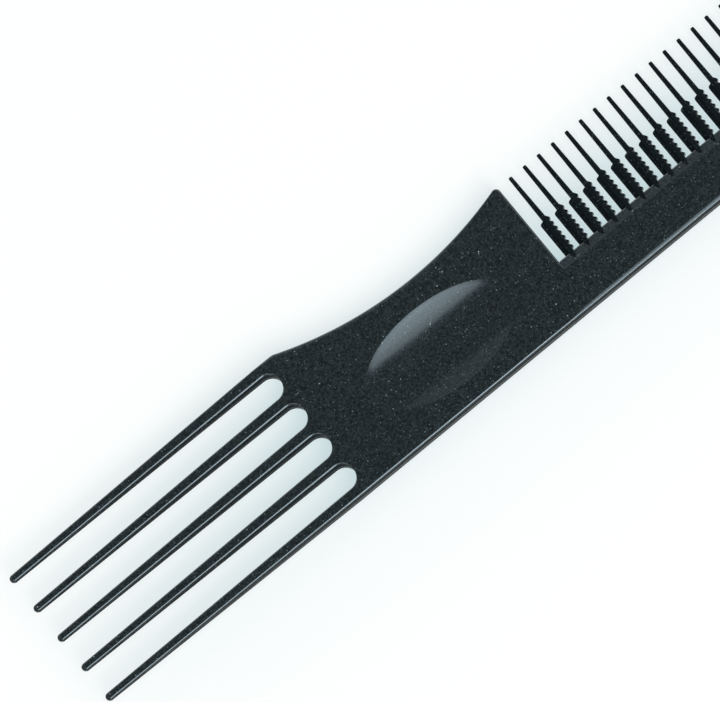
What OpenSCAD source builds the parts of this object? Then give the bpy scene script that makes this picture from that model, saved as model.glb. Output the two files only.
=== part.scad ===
// Teasing comb with a five-prong lift fork, drawn region by region.
// +X runs from the prong tips to the end guard, +Y points to the tooth tips, +Z is up
// through the thickness. The comb lies flat on z = 0, with x = 0 and y = 0 at its middle.

/* [Overall] */
// Length from the prong tips to the end guard
comb_length = 206.2; // [202:0.2:212]
// Width across the fork
comb_width = 32.4; // [31.8:0.1:33]
// Thickness of the handle, the fork root and the spine
body_t = 4.4; // [4:0.1:5]

/* [Fork] */
// Width of a prong where it leaves the fork root
prong_root_w = 2.28; // [1.8:0.02:2.5]
// Width and thickness of a prong at its tip
prong_tip_d = 1.5; // [1:0.1:1.8]
// Length of a prong, from its tip to the middle of the slot's round end
prong_length = 61.85; // [58:0.05:64]
// How far each outermost prong tip leans in towards the middle one
tip_lean = 0.14; // [0:0.01:0.4]

/* [Handle] */
// Length of the handle, from the fork root to the gap before the teeth
grip_length = 50; // [49:0.5:52]
// Width of the solid strip between the slots' middles and the handle
bridge_length = 8.25; // [6:0.05:9]
// Height of the handle's corner beside the teeth, above the spine's outer edge
grip_corner_h = 29.6; // [29:0.1:29.8]
// Radius of the hollow waist
waist_r = 82; // [78:1:90]
// Width of the handle at its waist
waist_h = 26.6; // [26:0.1:26.9]
// Length of the thumb rest pressed into each face
rest_length = 35; // [28:0.2:36.4]
// Width of the thumb rest
rest_width = 17.6; // [14:0.2:18.4]
// Depth of the thumb rest at its middle
rest_depth = 1; // [0.6:0.1:1.4]
// Turn of the thumb rest, in degrees; below zero it dips towards the teeth
rest_turn = -1.2; // [-3:0.1:3]

/* [Spine] */
// Width of the spine, from its outer edge to the tooth roots
spine_w = 10.55; // [9.5:0.05:11]
// Thickness of the spine at the tooth roots
root_t = 3; // [2.6:0.1:3.4]
// Width of the bevel that thins the spine towards the tooth roots
root_bevel = 1.8; // [1:0.1:2.2]
// Size of the chamfer on the outer edge, at the handle
edge_chamfer = 0.35; // [0.2:0.05:0.5]
// Size of that chamfer at the far end of the spine
edge_chamfer_far = 1.2; // [0.5:0.1:1.5]
// Width of the end guard
guard_w = 4.2; // [3.6:0.1:5]
// Radius of the end guard's outer corners
guard_r = 1.8; // [1:0.1:2]

/* [Teeth] */
// Distance between neighbouring teeth
tooth_pitch = 3.4725; // [3.43:0.0025:3.49]
// Distance from the handle's wall to the first tooth's middle
first_tooth = 3.09; // [2.9:0.01:3.2]
// Height of the tooth tips above the spine's outer edge
tooth_top = 30; // [29.4:0.1:30.2]
// Width of the long tooth where it leaves the serrated step
blade_w = 1; // [0.9:0.05:1.1]
// Width of the long tooth at its tip
blade_tip_w = 0.68; // [0.5:0.02:0.8]
// Thickness of the long tooth at its root
blade_root_t = 4; // [3:0.1:4]
// Thickness of the long tooth at its tip
blade_tip_t = 1.2; // [0.8:0.1:1.6]
// Thickness of the serrated step
step_t = 1.7; // [1.2:0.1:2.2]
// Height of the step's plain side above the spine's outer edge
step_top = 18.9; // [18:0.1:19.5]
// Distance between the serrations
notch_pitch = 1.187; // [1.15:0.001:1.19]

/* [Hidden] */
prong_count = 5;
tooth_count = 23;
notch_count = 7;

left = -comb_length / 2;
right = comb_length / 2;
outer = -comb_width / 2;        // the spine's outer edge
mid_z = body_t / 2;
prong_pitch = (comb_width - prong_root_w) / (prong_count - 1);
slot_r = (prong_pitch - prong_root_w) / 2;
slot_x = left + prong_length;   // the middles of the slots' round ends
grip_x = slot_x + bridge_length;
wall_x = grip_x + grip_length;  // the handle's wall beside the first tooth
guard_x = right - guard_w;
root_y = outer + spine_w;
corner_y = outer + grip_corner_h;
waist_x = wall_x - 23.5;
waist_y = outer + waist_h + waist_r;
shoulder_r = 3;                 // rounds the fork's shoulder
corner_r = 1;                   // rounds the handle's corner
rest_x = wall_x - 27.5;
rest_y = outer + 12.7;
step_left = 1.42;               // the step's plain side, left of the tooth's middle
valley_x = 0.58;                // bottoms of the serrations, right of the tooth's middle
peak_x = 1.08;                  // their points
step_corner = 0.5;
eps = 0.01;
big = 60;
charcoal = [0.13, 0.155, 0.165];
graphite = [0.19, 0.21, 0.22];

function prong_name(i) = str("lift_prong_", i);
function tooth_name(i) = str("teasing_tooth_", i < 10 ? "0" : "", i);
function prong_offset(i) = (prong_count + 1) / 2 - i;
function circle_y(x, r) = waist_y - sqrt(pow(waist_r + r, 2) - pow(x - waist_x, 2));
function circle_x(y, r, side) = waist_x + side * sqrt(pow(waist_r + r, 2) - pow(waist_y - y, 2));

// Everything past the two places where a corner's circle touches its neighbours
module corner_nick(c, r, touch_a, touch_b, out) {
    difference() {
        polygon([touch_a, out, touch_b, c]);
        translate(c) circle(r, $fn = 64);
    }
}

// Where a circle at c touches the waist
function waist_touch(c, r) = [waist_x, waist_y] + (c - [waist_x, waist_y]) * waist_r / (waist_r + r);

// Outline of the fork root and handle together, without the slots
module handle_plan() {
    shoulder = [circle_x(-outer - shoulder_r, shoulder_r, -1), -outer - shoulder_r];
    corner = [wall_x - corner_r, circle_y(wall_x - corner_r, corner_r)];
    difference() {
        translate([slot_x, outer]) square([wall_x - slot_x, comb_width]);
        translate([waist_x, waist_y]) circle(waist_r, $fn = 256);
        corner_nick(shoulder, shoulder_r, waist_touch(shoulder, shoulder_r),
                    [shoulder[0], -outer + eps], [shoulder[0] + shoulder_r / 2, -outer + eps]);
        corner_nick(corner, corner_r, waist_touch(corner, corner_r),
                    [wall_x + eps, corner[1]], [wall_x + eps, corner_y + 3 * corner_r]);
    }
}

// Bevels both outer edges, from size a at x = x0 to size b at x = x1
module outer_edge_cut(x0, x1, a, b) {
    turn = atan2(b - a, x1 - x0);
    for (side = [0, 1])
        translate([0, 0, side * body_t]) mirror([0, 0, side])
            translate([x0, outer + a, 0]) rotate([0, 0, turn]) rotate([-45, 0, 0])
                translate([-eps, -big, -big]) cube([2 * big, 2 * big, big]);
}

// A shallow dish whose rim is an oval, cut by a ring of round section
module rest_cut() {
    along_r = (pow(rest_length / 2, 2) + pow(rest_depth, 2)) / (2 * rest_depth);
    across_r = (pow(rest_width / 2, 2) + pow(rest_depth, 2)) / (2 * rest_depth);
    translate([rest_x, rest_y, body_t - rest_depth + along_r]) rotate([90, 0, rest_turn])
        rotate_extrude($fn = 360) translate([along_r - across_r, 0]) circle(across_r, $fn = 180);
}

module fork_bridge() {
    color(charcoal) difference() {
        linear_extrude(body_t) difference() {
            intersection() {
                handle_plan();
                translate([slot_x, outer]) square([bridge_length, comb_width]);
            }
            for (i = [1:prong_count - 1])
                translate([slot_x, (prong_offset(i) - 0.5) * prong_pitch]) circle(slot_r, $fn = 64);
        }
        outer_edge_cut(slot_x, grip_x, edge_chamfer, edge_chamfer);
    }
}

module grip() {
    color(charcoal) difference() {
        linear_extrude(body_t) intersection() {
            handle_plan();
            translate([grip_x, outer]) square([grip_length, comb_width]);
        }
        outer_edge_cut(grip_x, wall_x, edge_chamfer, edge_chamfer);
        rest_cut();
        translate([0, 0, body_t]) mirror([0, 0, 1]) rest_cut();
    }
}

module spine() {
    thin = (body_t - root_t) / 2;
    section = [[outer, 0], [root_y - root_bevel, 0], [root_y, thin], [root_y, body_t - thin],
               [root_y - root_bevel, body_t], [outer, body_t]];
    color(charcoal) difference() {
        translate([wall_x, 0, 0]) rotate([90, 0, 90])
            linear_extrude(guard_x - wall_x) polygon(section);
        outer_edge_cut(wall_x, right, edge_chamfer, edge_chamfer_far);
    }
}

module end_guard() {
    color(charcoal) difference() {
        linear_extrude(body_t) union() {
            translate([guard_x, outer]) square([guard_w - guard_r, grip_corner_h]);
            translate([guard_x, outer + guard_r]) square([guard_w, grip_corner_h - 2 * guard_r]);
            for (y = [outer + guard_r, corner_y - guard_r])
                translate([right - guard_r, y]) circle(guard_r, $fn = 48);
        }
    }
}

// One prong, tapering in width and in thickness to a round tip
module lift_prong(i) {
    root_at = prong_offset(i) * prong_pitch;
    tip_at = prong_offset(i) * (prong_pitch - tip_lean / 2);
    tip_r = prong_tip_d / 2;
    tip_x = left + tip_r;
    color(charcoal) intersection() {
        linear_extrude(body_t) union() {
            polygon([[slot_x, root_at - prong_root_w / 2], [slot_x, root_at + prong_root_w / 2],
                     [tip_x, tip_at + tip_r], [tip_x, tip_at - tip_r]]);
            translate([tip_x, tip_at]) circle(tip_r, $fn = 32);
        }
        translate([0, comb_width, 0]) rotate([90, 0, 0])
            linear_extrude(2 * comb_width) union() {
                polygon([[slot_x, 0], [slot_x, body_t], [tip_x, mid_z + tip_r], [tip_x, mid_z - tip_r]]);
                translate([tip_x, mid_z]) circle(tip_r, $fn = 32);
            }
    }
}

// Serrated side of the step, from the barb below the long tooth down to the root
function notches(y) = [for (k = [0:notch_count - 1])
    each [[peak_x, y - k * notch_pitch], [valley_x, y - (k + 0.4) * notch_pitch]]];

// One tooth: a long tapered blade that also ribs the short serrated step beside it
module teasing_tooth(i) {
    tip_r = blade_tip_w / 2;
    tip_y = outer + tooth_top - tip_r;
    barb_y = outer + step_top;
    color(graphite) translate([wall_x + first_tooth + (i - 1) * tooth_pitch, 0, 0]) union() {
        intersection() {
            linear_extrude(body_t) union() {
                polygon([[-blade_w / 2, root_y], [blade_w / 2, root_y],
                         [blade_w / 2, barb_y + blade_w], [tip_r, tip_y],
                         [-tip_r, tip_y], [-blade_w / 2, barb_y + blade_w]]);
                translate([0, tip_y]) circle(tip_r, $fn = 24);
            }
            translate([-big / 2, 0, mid_z]) rotate([90, 0, 90]) linear_extrude(big)
                polygon([[root_y, -blade_root_t / 2], [tip_y + tip_r, -blade_tip_t / 2],
                         [tip_y + tip_r, blade_tip_t / 2], [root_y, blade_root_t / 2]]);
        }
        translate([0, 0, mid_z - step_t / 2]) linear_extrude(step_t)
            polygon(concat([[0, root_y], [-step_left, root_y], [-step_left, barb_y - step_corner],
                            [-step_left + step_corner, barb_y], [0, barb_y + blade_w],
                            [blade_w / 2, barb_y + blade_w]],
                           notches(barb_y), [[valley_x, root_y]]));
    }
}

fork_bridge();
grip();
spine();
end_guard();
for (i = [1:prong_count])
    lift_prong(i);
for (i = [1:tooth_count])
    teasing_tooth(i);
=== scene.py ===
import bpy
import bmesh
import math
from mathutils import Matrix, Vector


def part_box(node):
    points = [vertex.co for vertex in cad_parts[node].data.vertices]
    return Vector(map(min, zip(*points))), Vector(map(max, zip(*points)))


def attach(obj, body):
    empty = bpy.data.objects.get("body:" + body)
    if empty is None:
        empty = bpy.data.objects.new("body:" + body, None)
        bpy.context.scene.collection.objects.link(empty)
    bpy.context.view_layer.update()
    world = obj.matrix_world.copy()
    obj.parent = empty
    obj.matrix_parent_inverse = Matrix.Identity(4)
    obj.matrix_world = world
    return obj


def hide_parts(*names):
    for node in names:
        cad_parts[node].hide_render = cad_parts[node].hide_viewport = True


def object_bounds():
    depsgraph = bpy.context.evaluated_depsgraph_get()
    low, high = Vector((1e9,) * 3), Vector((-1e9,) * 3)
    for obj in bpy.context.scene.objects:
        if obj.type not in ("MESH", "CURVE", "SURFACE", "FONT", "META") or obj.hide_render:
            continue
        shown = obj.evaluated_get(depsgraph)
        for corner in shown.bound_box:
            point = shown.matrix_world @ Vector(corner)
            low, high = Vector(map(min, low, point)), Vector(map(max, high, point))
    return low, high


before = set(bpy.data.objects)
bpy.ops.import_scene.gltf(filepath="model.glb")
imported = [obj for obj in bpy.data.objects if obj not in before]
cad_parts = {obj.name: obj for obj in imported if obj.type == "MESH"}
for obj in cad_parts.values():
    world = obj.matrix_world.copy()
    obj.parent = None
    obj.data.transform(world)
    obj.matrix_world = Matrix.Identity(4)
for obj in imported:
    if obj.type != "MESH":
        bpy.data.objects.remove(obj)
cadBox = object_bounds()
print("frame loaded, nodes:", len(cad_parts))

mm = 0.001
low, high = cadBox
middleZ = (low.z + high.z) / 2
thickness = high.z - low.z
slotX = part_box("fork_bridge")[0].x  # where the prongs leave the fork bridge
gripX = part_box("fork_bridge")[1].x  # where the handle begins
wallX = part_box("grip")[1].x  # the handle's wall beside the first tooth
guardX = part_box("end_guard")[0].x
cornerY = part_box("end_guard")[1].y  # top of the end guard
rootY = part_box("spine")[1].y  # where the teeth leave the spine


class Wire:  # one output socket that takes part in Python maths
    def __init__(self, graph, socket):
        self.graph = graph
        self.socket = socket

    def maths(self, operation, first, second):
        return self.graph.node("ShaderNodeMath", {"operation": operation}, {0: first, 1: second})

    def __add__(self, other):
        return self.maths("ADD", self, other)

    __radd__ = __add__

    def __sub__(self, other):
        return self.maths("SUBTRACT", self, other)

    def __rsub__(self, other):
        return self.maths("SUBTRACT", other, self)

    def __mul__(self, other):
        return self.maths("MULTIPLY", self, other)

    __rmul__ = __mul__

    def __lt__(self, other):
        return self.maths("LESS_THAN", self, other)

    def cut(self):  # kept between 0 and 1
        return self.graph.node("ShaderNodeClamp", {}, {0: self})


class Graph:  # a node tree, shader or geometry
    def __init__(self, tree):
        self.tree = tree
        tree.nodes.clear()

    def node(self, kind, settings, values, out=0):
        made = self.tree.nodes.new(kind)
        for key, value in settings.items():
            setattr(made, key, value)
        for key, value in values.items():
            if isinstance(value, Wire):
                self.tree.links.new(value.socket, made.inputs[key])
            else:
                made.inputs[key].default_value = value
        return Wire(self, made.outputs[out]) if made.outputs else made

    def blend(self, mask, first, second):  # colours go through Mix
        return self.node("ShaderNodeMix", {"data_type": "RGBA"}, {0: mask, 6: first, 7: second}, 2)


plasticLook = {
    "base": (0.0033, 0.0052, 0.0056, 1),
    "cloud": (0.0153, 0.0192, 0.0199, 1),  # the paler drifts in the resin
    "cloudSize": 0.42 * mm,
    "cloudDetail": 4.0,
    "cloudContrast": 3.6,
    "cloudShift": 1.3,  # more of it leaves fewer drifts
    "fleck": (0.46, 0.50, 0.51, 1),
    "roughness": 0.12,
    "roughSpread": 0.1,  # how much the grain varies it
    "grain": 0.3 * mm,
    "grainDetail": 3.0,
    "grainHeight": 0.0002 * mm,
}
# painted shade: the teeth are the body's plastic, given a darker base and cloud so they look near black
shadedToothLook = dict(plasticLook, base=(0.0030, 0.0045, 0.0050, 1), cloud=(0.0055, 0.0075, 0.0082, 1))
shine = {"face": 0.5, "shadedOuterWall": 0.004, "shadedInnerWall": 0.001, "tooth": 0.1}  # painted shade: walls and teeth are the face's plastic with its reflection dimmed, so they look dark, the inner walls darkest
fleckShape = {"smallest": 0.5, "crispness": 4}
fleckLayers = [  # radius is in spacings; share is the part of the cells that hold a fleck
    {"spacing": 0.36 * mm, "radius": 0.34, "share": 0.55, "bright": 0.12, "seed": 0.0},
    {"spacing": 0.70 * mm, "radius": 0.20, "share": 0.62, "bright": 0.25, "seed": 0.31},
    {"spacing": 1.60 * mm, "radius": 0.095, "share": 0.90, "bright": 0.50, "seed": 0.77},
]


def flecks(graph, place, layer):
    spot = {"feature": "F1", "voronoi_dimensions": "3D"}
    moved = graph.node("ShaderNodeVectorMath", {"operation": "ADD"}, {0: place, 1: (layer["seed"],) * 3})
    size = {0: moved, "Scale": 1 / layer["spacing"]}
    distance = graph.node("ShaderNodeTexVoronoi", spot, size, "Distance")
    dice = graph.node("ShaderNodeTexVoronoi", spot, size, "Color")
    chance = graph.node("ShaderNodeSeparateColor", {}, {0: dice}, 0)
    brightness = graph.node("ShaderNodeSeparateColor", {}, {0: dice}, 1)
    smallest = fleckShape["smallest"]
    radius = layer["radius"] * (smallest + brightness * (1 - smallest))
    soft = ((radius - distance) * (fleckShape["crispness"] / layer["radius"])).cut()
    return soft * (chance < layer["share"]) * (brightness * brightness * layer["bright"])


def plastic(name, look, layers, mirror):
    made = bpy.data.materials.new(name)
    made.use_nodes = True
    graph = Graph(made.node_tree)
    place = graph.node("ShaderNodeTexCoord", {}, {}, "Object")
    cloud = graph.node("ShaderNodeTexNoise", {}, {
        0: place, "Scale": 1 / look["cloudSize"], "Detail": look["cloudDetail"]})
    drift = (cloud * look["cloudContrast"] - look["cloudShift"]).cut()
    colour = graph.blend(drift, look["base"], look["cloud"])
    for layer in layers:
        colour = graph.blend(flecks(graph, place, layer), colour, look["fleck"])
    grain = graph.node("ShaderNodeTexNoise", {}, {
        0: place, "Scale": 1 / look["grain"], "Detail": look["grainDetail"]})
    rough = look["roughness"] - look["roughSpread"] / 2 + grain * look["roughSpread"]
    bump = graph.node("ShaderNodeBump", {}, {"Distance": look["grainHeight"], "Height": grain})
    surface = graph.node("ShaderNodeBsdfPrincipled", {}, {
        "Base Color": colour, "Roughness": rough, "Normal": bump, "Specular IOR Level": mirror, "IOR": 1.5})
    graph.node("ShaderNodeOutputMaterial", {}, {0: surface})
    return made


speckled = plastic("speckledPlastic", plasticLook, fleckLayers, shine["face"])
# the two wall plastics are painted shade: the face's plastic with hardly any reflection, so the walls stay
# dark
shadedOuterWall = plastic("shadedOuterWallPlastic", plasticLook, fleckLayers, shine["shadedOuterWall"])
shadedInnerWall = plastic("shadedInnerWallPlastic", plasticLook, fleckLayers, shine["shadedInnerWall"])
shadedToothFinish = plastic("shadedToothPlastic", shadedToothLook, fleckLayers[:1], shine["tooth"])
finishes = [speckled, shadedOuterWall, shadedInnerWall]
onFace = 0  # places in that list
onOuterWall = 1
onInnerWall = 2
print("plastics ready")


edge = {  # what every moulded edge shares
    "radius": 0.40 * mm,  # width of the rounding along every moulded edge
    "sweep": math.radians(37),  # how far the rounding turns before it meets the wall
    "neckWidth": 0.85 * mm,
    "neckSweep": math.radians(38),
    "crownWidth": 1.2 * mm,  # the spine's outer edge is gently crowned inside its rounding
    "crownTurn": math.radians(12.4),
    "crownRadius": 0.14 * mm,  # width of the rounding where the crown is full
    "draft": 0.03 * mm,  # lean of a wall between its rounding and the parting line
    "lip": 0.01 * mm,  # how far the parting line stands proud
    "lipHeight": 0.12 * mm,
    "rim": 0.04 * mm,  # narrow ring that keeps the flat faces' shading flat
    "steps": 6,
    "crownSteps": 5,
    "leastEase": 0.02,  # a faded rounding keeps this share of its width
    "merge": 0.0005 * mm,
    "sharp": 38,  # degrees; edges that turn more stay sharp
}


def mixed(first, second, share):
    return first + (second - first) * share


def mirrored(points):  # the bottom half of a wall's section repeats its top half
    return points + [(inset, -height) for inset, height in reversed(points)]


def roundEdge(width=edge["radius"], sweep=edge["sweep"], ease=1.0, thick=thickness, crown=0.0):
    # (inset, height) from the top face over the edge and down the wall to the bottom face
    lean = edge["draft"] * ease
    begin = edge["crownTurn"] * crown
    width = mixed(width, edge["crownRadius"], crown)
    reach = max(edge["crownWidth"] * crown, edge["rim"] * ease)
    radius = width / (math.sin(sweep) - math.sin(begin))
    drop = 0.0
    points = [(lean + width + reach, thick / 2)]
    for step in range(1, edge["crownSteps"] + 1):
        drop += reach / edge["crownSteps"] * math.tan(begin * (step - 0.5) / edge["crownSteps"])
        points.append((lean + width + reach * (1 - step / edge["crownSteps"]), thick / 2 - drop))
    for step in range(1, edge["steps"] + 1):
        turn = mixed(begin, sweep, step / edge["steps"])
        across = radius * (math.sin(turn) - math.sin(begin))
        down = radius * (math.cos(begin) - math.cos(turn))
        points.append((lean + width - across, thick / 2 - drop - down))
    points.append((lean, points[-1][1] - edge["rim"]))
    points.append((edge["lip"] * ease, edge["lipHeight"]))
    points.append((0.0, edge["lipHeight"] / 2))
    return mirrored(points)


def easedEdge(share):  # the rounding fades out where the wall runs into its neighbour
    share = max(share, edge["leastEase"])
    return roundEdge(edge["radius"] * share, ease=share)


def neckEdge(share):  # the hollow waist has a broader, flatter rounding
    width = mixed(edge["radius"], edge["neckWidth"], share)
    return roundEdge(width, mixed(edge["sweep"], edge["neckSweep"], share))


def columnAt(place, inward, profile):
    return [(place.x + inward.x * d, place.y + inward.y * d, middleZ + z) for d, z in profile]


def wallAlong(path, profiles, first=None, last=None):
    # path runs with the material on its left; first and last turn the end columns into a joint's plane
    columns = []
    for index, place in enumerate(path):
        before = path[max(index - 1, 0)]
        after = path[min(index + 1, len(path) - 1)]
        run = (after - before).normalized()
        inward = Vector((-run.y, run.x))
        if first and index == 0:
            inward = Vector(first)
        if last and index == len(path) - 1:
            inward = Vector(last)
        profile = profiles(index) if callable(profiles) else profiles
        columns.append(columnAt(place, inward, profile))
    return columns


def arc(centre, radius, start, stop, steps):
    turns = [start + (stop - start) * step / steps for step in range(steps + 1)]
    return [Vector((centre[0] + radius * math.cos(t), centre[1] + radius * math.sin(t))) for t in turns]


def straight(start, stop, steps):
    start = Vector(start)
    stop = Vector(stop)
    return [start.lerp(stop, step / steps) for step in range(steps + 1)]


def newVerts(mesh, walls):
    return [[[mesh.verts.new(point) for point in column] for column in wall] for wall in walls]


def skinWalls(mesh, walls, wallSlot):
    rounded = edge["crownSteps"] + edge["steps"]
    for wall in walls:
        for left, right in zip(wall, wall[1:]):
            for k in range(len(left) - 1):
                face = mesh.faces.new((left[k], left[k + 1], right[k + 1], right[k]))
                isWall = rounded <= k < len(left) - 1 - rounded
                face.material_index = wallSlot if isWall else onFace


def capJoints(mesh, walls):  # flat ends where two walls meet at a joint's plane
    for index, wall in enumerate(walls):
        following = walls[(index + 1) % len(walls)]
        mesh.faces.new(wall[-1] + following[0][::-1])


def capPlates(mesh, walls):  # the flat faces on the top and on the bottom
    mesh.faces.new([column[0] for wall in walls for column in wall])
    mesh.faces.new([column[-1] for wall in walls for column in wall][::-1])


def markSharp(mesh, angle):
    for face in mesh.faces:
        face.smooth = True
    for seam in mesh.edges:
        seam.smooth = len(seam.link_faces) == 2 and seam.calc_face_angle() < math.radians(angle)


def finishPlate(mesh, name, nodes):
    bmesh.ops.remove_doubles(mesh, verts=mesh.verts, dist=edge["merge"])
    markSharp(mesh, edge["sharp"])
    data = bpy.data.meshes.new(name)
    mesh.to_mesh(data)
    mesh.free()
    placePiece(data, name, finishes, nodes)


def placePiece(data, name, materials, nodes):
    piece = bpy.data.objects.new(name, data)
    bpy.context.scene.collection.objects.link(piece)
    for material in materials:
        data.materials.append(material)
    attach(piece, "root")
    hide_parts(*nodes)
    print(name, "made, faces:", len(data.polygons))


waist = {  # the hollow on the handle's inner side
    "radius": 82 * mm,
    "fromWall": 23.5 * mm,
    "width": 26.6 * mm,
    "steps": 72,
}
waistX = wallX - waist["fromWall"]
waistY = low.y + waist["width"] + waist["radius"]
neckJoint = Vector((0, -1)) / math.cos(math.asin((waistX - gripX) / waist["radius"]))


def waistArc(x0, x1, steps):  # along the hollow waist, from x0 to x1
    turn0 = -math.acos((x0 - waistX) / waist["radius"])
    turn1 = -math.acos((x1 - waistX) / waist["radius"])
    return arc((waistX, waistY), waist["radius"], turn0, turn1, steps)


def besideWaist(radius, x=None, y=None):  # centre of a circle that touches the waist from below
    reach = waist["radius"] + radius
    if y is None:
        return x, waistY - math.sqrt(reach ** 2 - (x - waistX) ** 2)
    return waistX - math.sqrt(reach ** 2 - (waistY - y) ** 2), y


def towardsWaist(centre):
    return math.atan2(waistY - centre[1], waistX - centre[0])


crowning = {  # how the crown grows along the outer edge
    "before": 13 * mm,  # it begins this far before the teeth
    "run": 14 * mm,
    "beside": 0.85,  # share of the crown at the end of that run
    "beyond": 0.15,  # and what the spine's length adds
}


def crownEdge(x):
    rise = min(max((x - wallX + crowning["before"]) / crowning["run"], 0.0), 1.0)
    share = crowning["beside"] * rise * rise * (3 - 2 * rise)
    share += crowning["beyond"] * max(x - wallX, 0.0) / (guardX - wallX)
    return roundEdge(crown=share)


fork = {  # the bridge that the prongs grow out of
    "prongs": 5,
    "rootWidth": 2.28 * mm,
    "shoulderRadius": 3 * mm,
    "slotSteps": 28,
    "curveSteps": 8,
    "straightSteps": 4,
}
prongPitch = (high.y - low.y - fork["rootWidth"]) / (fork["prongs"] - 1)
slotRadius = (prongPitch - fork["rootWidth"]) / 2


def forkWalls():
    shoulder = besideWaist(fork["shoulderRadius"], y=high.y - fork["shoulderRadius"])
    meets = towardsWaist(shoulder)
    startX = shoulder[0] + fork["shoulderRadius"] * math.cos(meets)
    outer = wallAlong(straight((slotX, low.y), (gripX, low.y), fork["straightSteps"]), roundEdge())
    top = waistArc(gripX, startX, fork["curveSteps"])
    top += arc(shoulder, fork["shoulderRadius"], meets, math.pi / 2, fork["curveSteps"])[1:]
    broad = len(top) - 1
    top += straight((shoulder[0], high.y), (slotX, high.y), fork["straightSteps"])[1:]
    last = len(top) - 1
    ease = [1.0] * broad + [(last - k) / (last - broad) for k in range(broad, last + 1)]
    walls = [outer, wallAlong(top, lambda index: neckEdge(ease[index]), first=neckJoint, last=(0, -1))]
    for index in range(fork["prongs"] - 1):
        y = high.y - fork["rootWidth"] - slotRadius - index * prongPitch
        path = arc((slotX, y), slotRadius, math.pi / 2, -math.pi / 2, fork["slotSteps"])
        walls.append(wallAlong(path, roundEdge(), first=(0, 1), last=(0, -1)))
    return walls


def makeForkBridge():
    mesh = bmesh.new()
    walls = newVerts(mesh, forkWalls())
    skinWalls(mesh, walls[:1], onOuterWall)
    skinWalls(mesh, walls[1:], onInnerWall)
    capJoints(mesh, walls)
    capPlates(mesh, walls)
    finishPlate(mesh, "forkBridge", ["fork_bridge"])


grip = {  # the handle with a thumb rest in each face
    "cornerRadius": 1.0 * mm,
    "restX": 27.5 * mm,  # middle of the thumb rest, back from the wall
    "restY": 12.7 * mm,  # and up from the outer edge
    "restHalfLength": 17.5 * mm,
    "restHalfWidth": 8.8 * mm,
    "restDepth": 1.0 * mm,
    "restTurn": math.radians(-1.2),  # the oval dips a little towards the teeth
    "rimRound": 0.12 * mm,
    "rimSink": 0.3,  # the rim's own drop, as a share of the bowl's slope
    "around": 160,
    "rings": 26,
    "baseSteps": 36,
    "wallSteps": 10,
    "cornerSteps": 10,
    "broadenSteps": 24,  # the waist's rounding broadens over these steps from the corner
    "fade": 1.9 * mm,  # a wall's rounding fades out over this much of the root bevel
    "fadeSteps": 6,
}


def gripWalls():
    radius = grip["cornerRadius"]
    corner = besideWaist(radius, x=wallX - radius)
    meets = towardsWaist(corner)
    endX = corner[0] + radius * math.cos(meets)
    base = straight((gripX, low.y), (wallX, low.y), grip["baseSteps"])
    outer = wallAlong(base, lambda index: crownEdge(base[index].x))
    path = straight((wallX, rootY - grip["fade"]), (wallX, rootY), grip["fadeSteps"])
    path += straight((wallX, rootY), (wallX, corner[1]), grip["wallSteps"])[1:]
    path += arc(corner, radius, 0, meets, grip["cornerSteps"])[1:]
    turned = len(path) - 1
    path += waistArc(endX, gripX, waist["steps"])[1:]

    def profile(index):
        if index <= turned:
            return easedEdge(min(index / grip["fadeSteps"], 1.0))
        return neckEdge(min((index - turned) / grip["broadenSteps"], 1.0))

    inner = wallAlong(path, profile, first=(-1, 0), last=neckJoint)
    return [outer, inner]


def restLevels():
    # (share of the oval's size, height) of each ring: the face, a narrow rim, then the bowl
    rim = grip["rimRound"] / grip["restHalfWidth"]
    sink = grip["restDepth"]
    slope = 2 * sink / grip["restHalfWidth"]
    levels = [(1 + 2 * rim, 0.0), (1 + rim, 0.0), (1.0, -slope * grip["rimRound"] * grip["rimSink"])]
    for ring in range(1, grip["rings"]):
        share = 1 - ring / grip["rings"] if ring > 1 else 1 - rim
        levels.append((share, -sink * (1 - share ** 2)))
    return levels


def restRings(mesh, side):
    # an oval dish whose slope grows evenly from its middle
    a = grip["restHalfLength"]
    b = grip["restHalfWidth"]
    centre = Vector((wallX - grip["restX"], low.y + grip["restY"]))
    turned = Matrix.Rotation(grip["restTurn"], 2)
    count = grip["around"]
    rings = []
    for share, drop in restLevels():
        z = middleZ + side * (thickness / 2 + drop)
        ring = []
        for step in range(count):
            turn = 2 * math.pi * step / count
            place = centre + turned @ Vector((a * share * math.cos(turn), b * share * math.sin(turn)))
            ring.append(mesh.verts.new((place.x, place.y, z)))
        rings.append(ring)
    bottom = mesh.verts.new((centre.x, centre.y, middleZ + side * (thickness / 2 - grip["restDepth"])))
    for outer, inner in zip(rings, rings[1:]):
        for k in range(count):
            quad = (outer[k], outer[(k + 1) % count], inner[(k + 1) % count], inner[k])
            mesh.faces.new(quad if side > 0 else quad[::-1])
    for k in range(count):
        tri = (rings[-1][k], rings[-1][(k + 1) % count], bottom)
        mesh.faces.new(tri if side > 0 else tri[::-1])
    return rings[0]


def faceAroundRest(mesh, outer, inner, rest, side):
    # one face runs below the oval, from its right end to its left end, and one above it
    half = len(rest) // 2
    lower = outer + [rest[0]] + rest[:half - 1:-1]
    upper = inner + [outer[0], rest[half]] + rest[half - 1::-1] + [outer[-1]]
    for loop in (lower, upper):
        mesh.faces.new(loop if side > 0 else loop[::-1])


def makeGrip():
    mesh = bmesh.new()
    outer, inner = newVerts(mesh, gripWalls())
    skinWalls(mesh, [outer], onOuterWall)
    skinWalls(mesh, [inner], onInnerWall)
    capJoints(mesh, [outer, inner])
    for side, level in ((1, 0), (-1, -1)):
        rest = restRings(mesh, side)
        faceAroundRest(mesh, [c[level] for c in outer], [c[level] for c in inner], rest, side)
    finishPlate(mesh, "thumbGrip", ["grip"])


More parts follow.
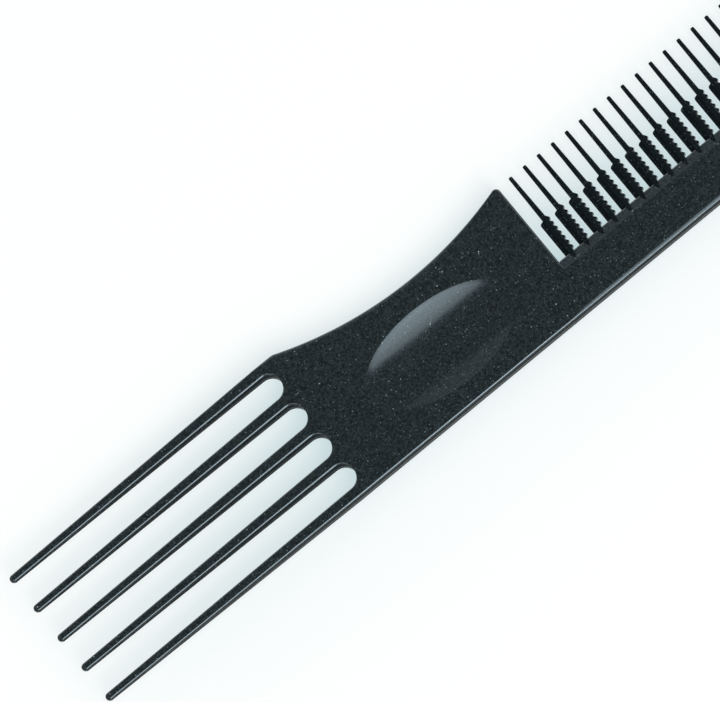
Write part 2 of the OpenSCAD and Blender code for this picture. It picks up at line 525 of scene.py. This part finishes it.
back = {  # the spine and its root bevel
    "rootThickness": 3.0 * mm,
    "bevelWidth": 2.0 * mm,
    "bevelEase": 0.01 * mm,  # drop of the bevel's first narrow strip
    "bevelSteps": 5,
    "toe": 0.1 * mm,  # size of the rounding at the bevel's foot
    "toeShape": [(1.0, 0.3), (0.3, -0.2), (0.0, -1.0)],  # its (inset, height), in toe sizes
    "rootRise": 0.2 * mm,  # the toe of the bevel stands this far into the gaps between the teeth
    "steps": 60,
}


def rootEdge():
    top = thickness / 2
    half = back["rootThickness"] / 2
    wide = back["bevelWidth"]
    toe = back["toe"]
    points = [(wide + edge["rim"], top), (wide, top), (wide - edge["rim"], top - back["bevelEase"])]
    for step in range(1, back["bevelSteps"]):
        share = step / back["bevelSteps"]
        points.append((wide * (1 - share), mixed(top, half, share)))
    points += [(toe * inset, half + toe * height) for inset, height in back["toeShape"]]
    points.append((0.0, edge["lipHeight"]))
    return mirrored(points)


def makeSpine():
    mesh = bmesh.new()
    path = straight((wallX, low.y), (guardX, low.y), back["steps"])
    outer = wallAlong(path, lambda index: crownEdge(path[index].x))
    toeY = rootY + back["rootRise"]
    root = wallAlong(straight((guardX, toeY), (wallX, toeY), back["steps"]), rootEdge())
    walls = newVerts(mesh, [outer, root])
    skinWalls(mesh, walls[:1], onOuterWall)
    skinWalls(mesh, walls[1:], onFace)
    capJoints(mesh, walls)
    capPlates(mesh, walls)
    finishPlate(mesh, "combSpine", ["spine"])


guard = {  # the broad tooth that closes the row
    "outerRadius": 1.8 * mm,
    "innerRadius": 0.8 * mm,  # of the corner beside the last tooth
    "outerSteps": 12,
    "innerSteps": 8,
    "endSteps": 12,
    "shortSteps": 3,
    "gapSteps": 10,
}


def guardPath():
    radius = guard["outerRadius"]
    inner = guard["innerRadius"]
    lowTurn = (high.x - radius, low.y + radius)
    highTurn = (high.x - radius, cornerY - radius)
    innerTurn = (guardX + inner, cornerY - inner)
    path = straight((guardX, low.y), (lowTurn[0], low.y), guard["shortSteps"])
    path += arc(lowTurn, radius, -math.pi / 2, 0, guard["outerSteps"])[1:]
    crowned = len(path) - 1
    path += straight((high.x, lowTurn[1]), (high.x, highTurn[1]), guard["endSteps"])[1:]
    path += arc(highTurn, radius, 0, math.pi / 2, guard["outerSteps"])[1:]
    path += straight((highTurn[0], cornerY), (innerTurn[0], cornerY), guard["shortSteps"])[1:]
    path += arc(innerTurn, inner, math.pi / 2, math.pi, guard["innerSteps"])[1:]
    path += straight((guardX, innerTurn[1]), (guardX, rootY), guard["gapSteps"])[1:]
    path += straight((guardX, rootY), (guardX, rootY - grip["fade"]), grip["fadeSteps"])[1:]
    return path, crowned


def makeGuard():
    path, crowned = guardPath()
    last = len(path) - 1

    def profile(index):
        if index <= crowned:
            return roundEdge(crown=1 - index / crowned)
        return easedEdge(min((last - index) / grip["fadeSteps"], 1.0))

    mesh = bmesh.new()
    walls = newVerts(mesh, [wallAlong(path, profile, first=(0, 1), last=(1, 0))])
    skinWalls(mesh, walls, onOuterWall)
    capJoints(mesh, walls)
    capPlates(mesh, walls)
    finishPlate(mesh, "endGuard", ["end_guard"])


makeForkBridge()
makeGrip()
makeSpine()
makeGuard()


def addInputs(tree, inputs):
    # inputs holds name: (socket type, value); gives back the identifiers that a modifier is set by
    found = {}
    for name, (kind, value) in inputs.items():
        socket = tree.interface.new_socket(name, in_out="INPUT", socket_type=kind)
        found[socket.identifier] = value
    tree.interface.new_socket("Geometry", in_out="OUTPUT", socket_type="NodeSocketGeometry")
    return found


def rowOf(name, item, inputs, build):
    # repeats item by a node tree and gives back the plain mesh
    tree = bpy.data.node_groups.new(name, "GeometryNodeTree")
    values = addInputs(tree, inputs)
    graph = Graph(tree)
    entry = tree.nodes.new("NodeGroupInput")
    given = {key: Wire(graph, entry.outputs[key]) for key in inputs}
    points, turn = build(graph, given)
    source = {"transform_space": "ORIGINAL"}
    shape = graph.node("GeometryNodeObjectInfo", source, {0: given["Item"]}, "Geometry")
    spread = {"Points": points, "Instance": shape}
    if turn:
        spread["Rotation"] = graph.node("FunctionNodeEulerToRotation", {}, {0: turn})
    copies = graph.node("GeometryNodeInstanceOnPoints", {}, spread)
    real = graph.node("GeometryNodeRealizeInstances", {}, {0: copies})
    finished = graph.node("GeometryNodeSetMaterial", {}, {0: real, "Material": given["Finish"]})
    graph.node("NodeGroupOutput", {}, {0: finished})
    host = bpy.data.objects.new(name + "Host", bpy.data.meshes.new(name + "Host"))
    bpy.context.scene.collection.objects.link(host)
    modifier = host.modifiers.new("row", "NODES")
    modifier.node_group = tree
    for identifier, value in values.items():
        modifier[identifier] = value
    depsgraph = bpy.context.evaluated_depsgraph_get()
    result = bpy.data.meshes.new_from_object(host.evaluated_get(depsgraph))
    host.modifiers.remove(modifier)
    bpy.data.objects.remove(host)
    bpy.data.objects.remove(item)
    result.materials.clear()
    return result


def loft(mesh, rings, pole):  # a flat cap on the first ring, and a point past the last one
    made = [[mesh.verts.new(point) for point in ring] for ring in rings]
    count = len(made[0])
    for left, right in zip(made, made[1:]):
        for k in range(count):
            mesh.faces.new((left[k], left[(k + 1) % count], right[(k + 1) % count], right[k]))
    mesh.faces.new(made[0][::-1])
    tip = mesh.verts.new(pole)
    for k in range(count):
        mesh.faces.new((made[-1][k], made[-1][(k + 1) % count], tip))


def patternObject(mesh, name, sharp):  # the one shape that a row repeats
    bmesh.ops.recalc_face_normals(mesh, faces=mesh.faces)
    markSharp(mesh, sharp)
    data = bpy.data.meshes.new(name)
    mesh.to_mesh(data)
    mesh.free()
    made = bpy.data.objects.new(name, data)
    bpy.context.scene.collection.objects.link(made)
    return made


prong = {
    "tipWidth": 1.6 * mm,
    "tipThickness": 1.5 * mm,
    "tipEdge": 0.42 * mm,  # the edges' rounding at the tip
    "tipEase": 0.4,  # how much of the draft and the lip is left at the tip
    "lean": 0.09 * mm,  # how far each tip leans in for each place from the middle prong
    "stations": 44,
    "tipSteps": 8,
    "sharp": 50,
    "sideways": 0.97,  # faces that look sideways this much are walls
}
prongLength = slotX - low.x


def prongRing(share, scale, x):
    width = mixed(fork["rootWidth"], prong["tipWidth"], share)
    thick = mixed(thickness, prong["tipThickness"], share)
    radius = mixed(edge["radius"], prong["tipEdge"], share)
    sweep = mixed(edge["sweep"], math.pi / 2, share)
    profile = roundEdge(radius, sweep, mixed(1.0, prong["tipEase"], share), thick)
    sides = [(width / 2 - inset, height) for inset, height in profile]
    sides += [(-y, height) for y, height in reversed(sides)]
    return [(x, y * scale, middleZ + height * scale) for y, height in sides]


def prongShape():
    tipRadius = prong["tipWidth"] / 2
    reach = prongLength - tipRadius
    count = prong["stations"]
    rings = [prongRing(k / count, 1.0, -reach * k / count) for k in range(count + 1)]
    for step in range(1, prong["tipSteps"]):
        turn = math.pi / 2 * step / prong["tipSteps"]
        rings.append(prongRing(1.0, math.cos(turn), -reach - tipRadius * math.sin(turn)))
    mesh = bmesh.new()
    loft(mesh, rings, (-prongLength, 0, middleZ))
    return patternObject(mesh, "prongShape", prong["sharp"])


def makeProngs():
    item = prongShape()
    middle = (fork["prongs"] - 1) / 2

    def build(graph, given):
        start = graph.node("ShaderNodeCombineXYZ", {}, {0: given["Root X"], 1: given["Pitch"] * middle})
        step = graph.node("ShaderNodeCombineXYZ", {}, {1: given["Pitch"] * -1})
        line = {"Count": given["Count"], "Start Location": start, "Offset": step}
        points = graph.node("GeometryNodeMeshLine", {"mode": "OFFSET"}, line)
        place = graph.node("GeometryNodeInputIndex", {}, {}) - middle
        return points, graph.node("ShaderNodeCombineXYZ", {}, {2: place * given["Lean"]})

    data = rowOf("liftFork", item, {
        "Item": ("NodeSocketObject", item),
        "Count": ("NodeSocketInt", fork["prongs"]),
        "Root X": ("NodeSocketFloat", slotX),
        "Pitch": ("NodeSocketFloat", prongPitch),
        "Lean": ("NodeSocketFloat", -prong["lean"] / prongLength),
        "Finish": ("NodeSocketMaterial", speckled),
    }, build)
    # the prongs' sideways faces take the dimmed wall plastics, painted shade on their walls
    for face in data.polygons:
        if abs(face.normal.y) > prong["sideways"]:
            outside = face.normal.y < 0 and face.center.y < low.y + fork["rootWidth"] / 2
            face.material_index = onOuterWall if outside else onInnerWall
    nodes = ["lift_prong_%d" % (k + 1) for k in range(fork["prongs"])]
    placePiece(data, "liftProngs", finishes, nodes)


makeProngs()


tooth = {  # a long slender blade, and the row that it stands in
    "count": 23,
    "first": 3.09 * mm,  # from the handle's wall to the first tooth's middle
    "pitch": 3.4725 * mm,
    "rootWidth": 1.1 * mm,
    "tipWidth": 0.8 * mm,
    "rootThickness": 4.0 * mm,
    "tipThickness": 1.2 * mm,
    "ribRun": 1.1 * mm,  # how far the rib carries on into the root bevel
    "ribWidth": 0.4 * mm,  # its width where it ends
    "cornerRound": 0.1 * mm,
    "cornerSteps": 3,
    "stations": 34,
    "tipSteps": 6,
    "merge": 0.001 * mm,
    "sharp": 20,
}
barbs = {  # the serrated step beside the blade
    "sunk": 0.3 * mm,  # it starts this far inside the spine
    "thickness": 1.7 * mm,
    "top": 18.9 * mm,  # above the outer edge
    "left": 1.42 * mm,  # its plain side, from the blade's middle
    "corner": 0.55 * mm,
    "cornerSteps": 4,
    "peak": 1.08 * mm,
    "valley": 0.56 * mm,
    "notches": 7,
    "notchPitch": 1.187 * mm,
    "valleyPlace": 0.42,  # share of the pitch from a peak down to the valley under it
    "topStart": 0.1,  # how far the last peak has grown where the corner begins
    "topGrowth": 0.8,
    "capRise": 0.12 * mm,
    "capInset": 0.1 * mm,
    "fadeRise": 0.95 * mm,  # the step's end runs out along the blade up to here
    "fadeLeft": 0.3,  # its sides there, as shares of the blade's width
    "fadeRight": 0.4,
    "edgeRound": 0.07 * mm,
}
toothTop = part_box("teasing_tooth_01")[1].y
stepTop = low.y + barbs["top"]


def bladeRing(y, scale=1.0):
    share = (y - rootY) / (toothTop - rootY)
    narrow = max(0.0, (y - stepTop) / (toothTop - stepTop))
    halfWidth = mixed(tooth["rootWidth"], tooth["tipWidth"], narrow) / 2 * scale
    if y < rootY:
        halfWidth = mixed(tooth["rootWidth"], tooth["ribWidth"], (rootY - y) / tooth["ribRun"]) / 2
    halfThick = mixed(tooth["rootThickness"], tooth["tipThickness"], share) / 2 * scale
    soft = tooth["cornerRound"] * scale
    ring = []
    for corner in range(4):
        side = 1 if corner in (0, 3) else -1
        up = 1 if corner < 2 else -1
        for step in range(tooth["cornerSteps"] + 1):
            turn = math.pi / 2 * (corner + step / tooth["cornerSteps"])
            x = side * (halfWidth - soft) + soft * math.cos(turn)
            ring.append((x, y, middleZ + up * (halfThick - soft) + soft * math.sin(turn)))
    return ring


def makeBlade():
    tipRadius = tooth["tipWidth"] / 2
    start = rootY - tooth["ribRun"]
    stop = toothTop - tipRadius
    rings = [bladeRing(mixed(start, stop, k / tooth["stations"])) for k in range(tooth["stations"] + 1)]
    for step in range(1, tooth["tipSteps"]):
        turn = math.pi / 2 * step / tooth["tipSteps"]
        ring = bladeRing(stop, math.cos(turn))
        rings.append([(x, stop + tipRadius * math.sin(turn), z) for x, y, z in ring])
    mesh = bmesh.new()
    loft(mesh, rings, (0, toothTop, middleZ))
    return patternObject(mesh, "toothBlade", tooth["sharp"])


def stepSlices():
    # (height, left side, right side) from the spine up to where the step ends on the blade
    corner = barbs["corner"]
    side = -barbs["left"]
    valley = barbs["valley"]
    peak = barbs["peak"]
    slices = [(rootY - barbs["sunk"], side, valley)]
    for k in reversed(range(1, barbs["notches"])):
        slices.append((stepTop - (k + barbs["valleyPlace"]) * barbs["notchPitch"], side, valley))
        slices.append((stepTop - k * barbs["notchPitch"], side, peak))
    slices.append((stepTop - corner, side, mixed(valley, peak, barbs["topStart"])))
    for step in range(1, barbs["cornerSteps"]):
        turn = math.pi / 2 * step / barbs["cornerSteps"]
        still = 1 - math.sin(turn)
        reach = mixed(valley, peak, 1 - still * barbs["topGrowth"])
        slices.append((stepTop - corner * still, side + corner * (1 - math.cos(turn)), reach))
    slices.append((stepTop, side + corner, peak))
    width = tooth["rootWidth"]
    slices.append((stepTop + barbs["capRise"], -width / 2, peak - barbs["capInset"]))
    slices.append((stepTop + barbs["fadeRise"], -width * barbs["fadeLeft"], width * barbs["fadeRight"]))
    return slices


def makeStep():
    half = barbs["thickness"] / 2
    soft = barbs["edgeRound"]
    rings = []
    for y, left, right in stepSlices():
        ring = [(right - soft, half), (left + soft, half), (left, half - soft), (left, soft - half)]
        ring += [(left + soft, -half), (right - soft, -half), (right, soft - half), (right, half - soft)]
        rings.append([(x, y, middleZ + z) for x, z in ring])
    mesh = bmesh.new()
    made = [[mesh.verts.new(point) for point in ring] for ring in rings]
    for lower, upper in zip(made, made[1:]):
        for k in range(len(lower)):
            following = (k + 1) % len(lower)
            mesh.faces.new((lower[k], upper[k], upper[following], lower[following]))
    mesh.faces.new(made[0])
    mesh.faces.new(made[-1][::-1])
    return patternObject(mesh, "toothStep", tooth["sharp"])


def joinTooth():  # the blade and its step become one closed shape
    blade = makeBlade()
    step = makeStep()
    join = blade.modifiers.new("join", "BOOLEAN")
    join.operation = "UNION"
    join.solver = "MANIFOLD"
    join.object = step
    depsgraph = bpy.context.evaluated_depsgraph_get()
    blade.data = bpy.data.meshes.new_from_object(blade.evaluated_get(depsgraph))
    blade.modifiers.remove(join)
    bpy.data.objects.remove(step)
    mesh = bmesh.new()
    mesh.from_mesh(blade.data)
    bmesh.ops.remove_doubles(mesh, verts=mesh.verts, dist=tooth["merge"])
    markSharp(mesh, tooth["sharp"])
    mesh.to_mesh(blade.data)
    mesh.free()
    return blade


def makeTeeth():
    item = joinTooth()

    def build(graph, given):
        start = graph.node("ShaderNodeCombineXYZ", {}, {0: given["First X"]})
        step = graph.node("ShaderNodeCombineXYZ", {}, {0: given["Pitch"]})
        line = {"Count": given["Count"], "Start Location": start, "Offset": step}
        return graph.node("GeometryNodeMeshLine", {"mode": "OFFSET"}, line), None

    # the tooth row takes the darkened tooth plastic, painted shade on the teeth
    data = rowOf("toothRow", item, {
        "Item": ("NodeSocketObject", item),
        "Count": ("NodeSocketInt", tooth["count"]),
        "First X": ("NodeSocketFloat", wallX + tooth["first"]),
        "Pitch": ("NodeSocketFloat", tooth["pitch"]),
        "Finish": ("NodeSocketMaterial", shadedToothFinish),
    }, build)
    nodes = ["teasing_tooth_%02d" % (k + 1) for k in range(tooth["count"])]
    placePiece(data, "teasingTeeth", [shadedToothFinish], nodes)


makeTeeth()


studio = {
    "distance": 4.5,  # of each softbox from the comb, in metres
    "floorHalf": 6.0,
    "floorDrop": 4 * mm,  # the pale table lies this far under the comb
    "paper": (0.366, 0.234, 0.199, 1),  # warm, which the cool softboxes even out to white
    "paperGlow": (0.485, 0.631, 0.66, 1),  # the table is also softly lit from below
    "dimRoom": (0.86, 0.95, 1.0, 1),
    "dimStrength": 0.14,
    "backdrop": (0.95, 0.97, 0.97, 1),
    "cool": (0.72, 0.90, 1.0),
    "pale": (0.93, 0.99, 1.0),
}
softboxes = [  # heading of the lean, then lean from straight above and half width, in degrees
    {"name": "nearLow", "heading": -90, "lean": (1.2, 5.5), "half": 26, "glow": 3.2, "tint": "cool"},
    {"name": "nearMiddle", "heading": -90, "lean": (5.5, 10.0), "half": 26, "glow": 4.6, "tint": "cool"},
    {"name": "nearHigh", "heading": -90, "lean": (10.0, 15.0), "half": 26, "glow": 6.0, "tint": "cool"},
    {"name": "keySoftbox", "heading": -90, "lean": (15.0, 46.0), "half": 11, "glow": 12.0, "tint": "cool"},
    {"name": "lowStrip", "heading": -90, "lean": (46.0, 76.0), "half": 35, "glow": 0.8, "tint": "pale"},
    {"name": "tailSide", "heading": 0, "lean": (16.0, 62.0), "half": 40, "glow": 1.6, "tint": "pale"},
    {"name": "forkSide", "heading": 180, "lean": (16.0, 62.0), "half": 40, "glow": 0.3, "tint": "pale"},
    {"name": "fillCard", "heading": 90, "lean": (27.5, 62.0), "half": 27, "glow": 0.42, "tint": "cool"},
    {"name": "backStrip", "heading": 90, "lean": (63.0, 82.0), "half": 45, "glow": 2.6, "tint": "pale"},
]


def makeFloor():
    half = studio["floorHalf"]
    corners = [(-half, -half, 0), (half, -half, 0), (half, half, 0), (-half, half, 0)]
    data = bpy.data.meshes.new("floor")
    data.from_pydata(corners, [], [(0, 1, 2, 3)])
    floor = bpy.data.objects.new("floor", data)
    bpy.context.scene.collection.objects.link(floor)
    floor.location.z = low.z - studio["floorDrop"]
    paper = bpy.data.materials.new("paper")
    paper.use_nodes = True
    graph = Graph(paper.node_tree)
    matt = graph.node("ShaderNodeBsdfDiffuse", {}, {"Color": studio["paper"]})
    lit = graph.node("ShaderNodeEmission", {}, {0: studio["paperGlow"]})
    surface = graph.node("ShaderNodeAddShader", {}, {0: matt, 1: lit})
    graph.node("ShaderNodeOutputMaterial", {}, {0: surface})
    data.materials.append(paper)


def makeSoftbox(look):
    start = math.radians(look["lean"][0])
    stop = math.radians(look["lean"][1])
    heading = math.radians(look["heading"])
    lean = (start + stop) / 2
    reach = studio["distance"]
    light = bpy.data.lights.new(look["name"], "AREA")
    light.shape = "RECTANGLE"
    light.size = 2 * reach * math.tan(math.radians(look["half"]))
    light.size_y = 2 * reach * math.tan((stop - start) / 2)
    light.energy = math.pi * light.size * light.size_y * look["glow"]
    light.color = studio[look["tint"]]
    made = bpy.data.objects.new(look["name"], light)
    bpy.context.scene.collection.objects.link(made)
    across = Vector((-math.sin(heading), math.cos(heading), 0))
    away = Vector((math.sin(lean) * math.cos(heading), math.sin(lean) * math.sin(heading), math.cos(lean)))
    made.location = away * reach
    made.rotation_euler = Matrix((across, away.cross(across), away)).transposed().to_euler()


def makeRoom():  # a dim room lights the comb, and behind it stands a pale backdrop that lights nothing
    world = bpy.data.worlds.new("room")
    world.use_nodes = True
    graph = Graph(world.node_tree)
    dimRoom = graph.node("ShaderNodeBackground", {}, {
        "Color": studio["dimRoom"], "Strength": studio["dimStrength"]})
    backdrop = graph.node("ShaderNodeBackground", {}, {"Color": studio["backdrop"]})
    seen = graph.node("ShaderNodeLightPath", {}, {})
    surface = graph.node("ShaderNodeMixShader", {}, {0: seen, 1: dimRoom, 2: backdrop})
    graph.node("ShaderNodeOutputWorld", {}, {0: surface})
    bpy.context.scene.world = world


cameraLook = {
    "tilt": math.radians(12.4),  # towards the outer edge's side
    "roll": math.radians(39.5),
    "lens": 800.0,
    "frameWidth": 138.02 * mm,  # what the picture's width takes in
    "aimX": 79.86 * mm,  # from the prong tips
    "aimY": 22.4 * mm,  # from the outer edge
    "near": 0.05,
    "far": 20,
}


def makeCamera():
    data = bpy.data.cameras.new("camera")
    data.lens = cameraLook["lens"]
    data.clip_start = cameraLook["near"]
    data.clip_end = cameraLook["far"]
    made = bpy.data.objects.new("camera", data)
    bpy.context.scene.collection.objects.link(made)
    tilt = cameraLook["tilt"]
    roll = cameraLook["roll"]
    away = Vector((0, -math.sin(tilt), math.cos(tilt)))
    along = Vector((1, 0, 0))
    across = away.cross(along)
    right = along * math.cos(roll) - across * math.sin(roll)
    up = along * math.sin(roll) + across * math.cos(roll)
    aim = Vector((low.x + cameraLook["aimX"], low.y + cameraLook["aimY"], middleZ))
    distance = cameraLook["frameWidth"] / data.sensor_width * data.lens
    turned = Matrix((right, up, away)).transposed().to_4x4()
    made.matrix_world = Matrix.Translation(aim + away * distance) @ turned
    bpy.context.scene.camera = made


makeFloor()
for softbox in softboxes:
    makeSoftbox(softbox)
makeRoom()
makeCamera()
bpy.context.scene.view_settings.view_transform = "Standard"
print("floor, lights and camera ready")
